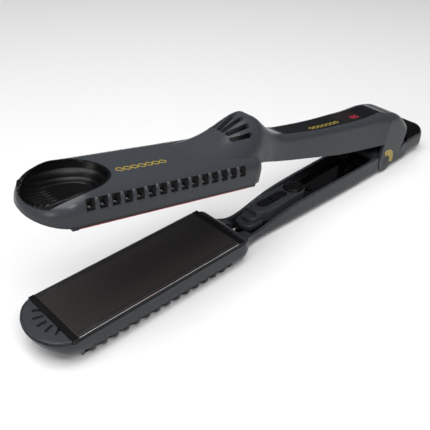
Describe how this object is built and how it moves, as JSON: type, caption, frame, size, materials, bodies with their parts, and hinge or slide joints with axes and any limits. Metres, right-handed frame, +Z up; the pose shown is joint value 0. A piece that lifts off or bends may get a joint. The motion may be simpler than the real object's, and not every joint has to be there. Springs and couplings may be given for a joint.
{
  "type": "hair iron",
  "caption": "Wide-plate hair iron with two smooth heated plates on long arms, hinged at the rear and sprung open, with a swivelling cord inlet.",
  "frame": {"origin": "centre of the bounding box on the surface that the lower arm lies on", "axes": "+X along the lower arm from nose to cord inlet, +Y across the arms, +Z up"},
  "size_m": [0.3334, 0.044, 0.0941],
  "materials": {
    "housing": "satin metallic charcoal paint on moulded plastic",
    "gloss_black": "high gloss black",
    "display_glass": "smoked gloss window",
    "display_body": "matt",
    "rubber": "soft-touch, ribbed",
    "black_plastic": "fine satin moulding",
    "plate_coating": "dark satin ceramic coating over aluminium",
    "bright_trim": "polished",
    "rose_trim": "polished rose tone",
    "yellow_accent": "satin yellow",
    "heater_block": "matt",
    "steel": "bright",
    "washer_plastic": "natural acetal",
    "mica": "pressed mica",
    "circuit_board": "green solder mask",
    "contact_brass": "bare",
    "glass_bead": "glazed bead",
    "wire_sleeve": "woven glass sleeve"
  },
  "bodies": {
    "lower_arm": {"button_bezel": "gloss_black", "closing_buffer": "rubber", "cushion_springs": "steel", "hinge_bushes": "washer_plastic", "inner_cover": "gloss_black", "inner_cover_screws": "steel", "lower_edge_trims": "bright_trim", "lower_heat_shield": "mica", "lower_leads": "wire_sleeve", "lower_nose_cover": "housing", "lower_plate_carrier": "black_plastic", "lower_shell": "housing", "rear_cap": "gloss_black", "rocker_pin": "steel", "shell_screws": "steel", "slip_contacts": "contact_brass", "switch_board": "circuit_board", "switch_island": "housing", "swivel_retainer": "black_plastic", "tact_switches": "black_plastic", "thrust_washers": "washer_plastic", "torsion_spring": "steel"},
    "upper_arm": {"upper_shell": "housing", "handle_inlay": "gloss_black", "display_window": "display_glass", "display_module": "display_body", "thumb_rest": "rubber", "handle_cover": "housing", "upper_cover_screws": "steel", "control_board": "circuit_board", "board_parts": "black_plastic", "upper_yoke": "housing", "pivot_accents": "yellow_accent", "pivot_caps": "black_plastic", "hinge_pin": "steel", "upper_plate": "plate_coating", "upper_plate_carrier": "black_plastic", "upper_edge_trims": "rose_trim", "upper_heater": "heater_block", "upper_insulator": "mica", "upper_heater_clip": "steel", "upper_sensor": "glass_bead", "upper_thermal_fuse": "glass_bead", "upper_nose_cover": "housing", "upper_heat_shield": "mica", "upper_leads": "wire_sleeve"},
    "floating_plate": {"lower_plate": "plate_coating", "lower_heater": "heater_block", "lower_insulator": "mica", "lower_heater_clip": "steel", "lower_sensor": "glass_bead", "lower_thermal_fuse": "glass_bead"},
    "rocker": {"temperature_rocker": "black_plastic"},
    "button": {"power_button": "black_plastic"},
    "swivel": {"cord_swivel": "black_plastic"}
  },
  "joints": [
    {"name": "arm_hinge", "type": "hinge", "parent": "lower_arm", "child": "upper_arm", "pos_m": [0.11375, 0, 0.0094], "axis": [0, 1, 0], "range_deg": [-13.26, 0], "stiffness_Nm_per_rad": 0.8, "springref_deg": 20.05},
    {"name": "plate_float", "type": "slide", "parent": "lower_arm", "child": "floating_plate", "axis": [0, 0, -1], "range_m": [0, 0.0006], "stiffness_N_per_m": 6000, "deforming": ["cushion_springs"]},
    {"name": "rocker_tilt", "type": "hinge", "parent": "lower_arm", "child": "rocker", "pos_m": [0.00925, 0, 0.0142], "axis": [0, 1, 0], "range_deg": [-3, 3], "stiffness_Nm_per_rad": 0.05},
    {"name": "button_press", "type": "slide", "parent": "lower_arm", "child": "button", "axis": [0, 0, -1], "range_m": [0, 0.0009], "stiffness_N_per_m": 800},
    {"name": "swivel_turn", "type": "hinge", "parent": "lower_arm", "child": "swivel", "pos_m": [0.16175, 0, 0.011], "axis": [1, 0, 0], "continuous": true}
  ]
}
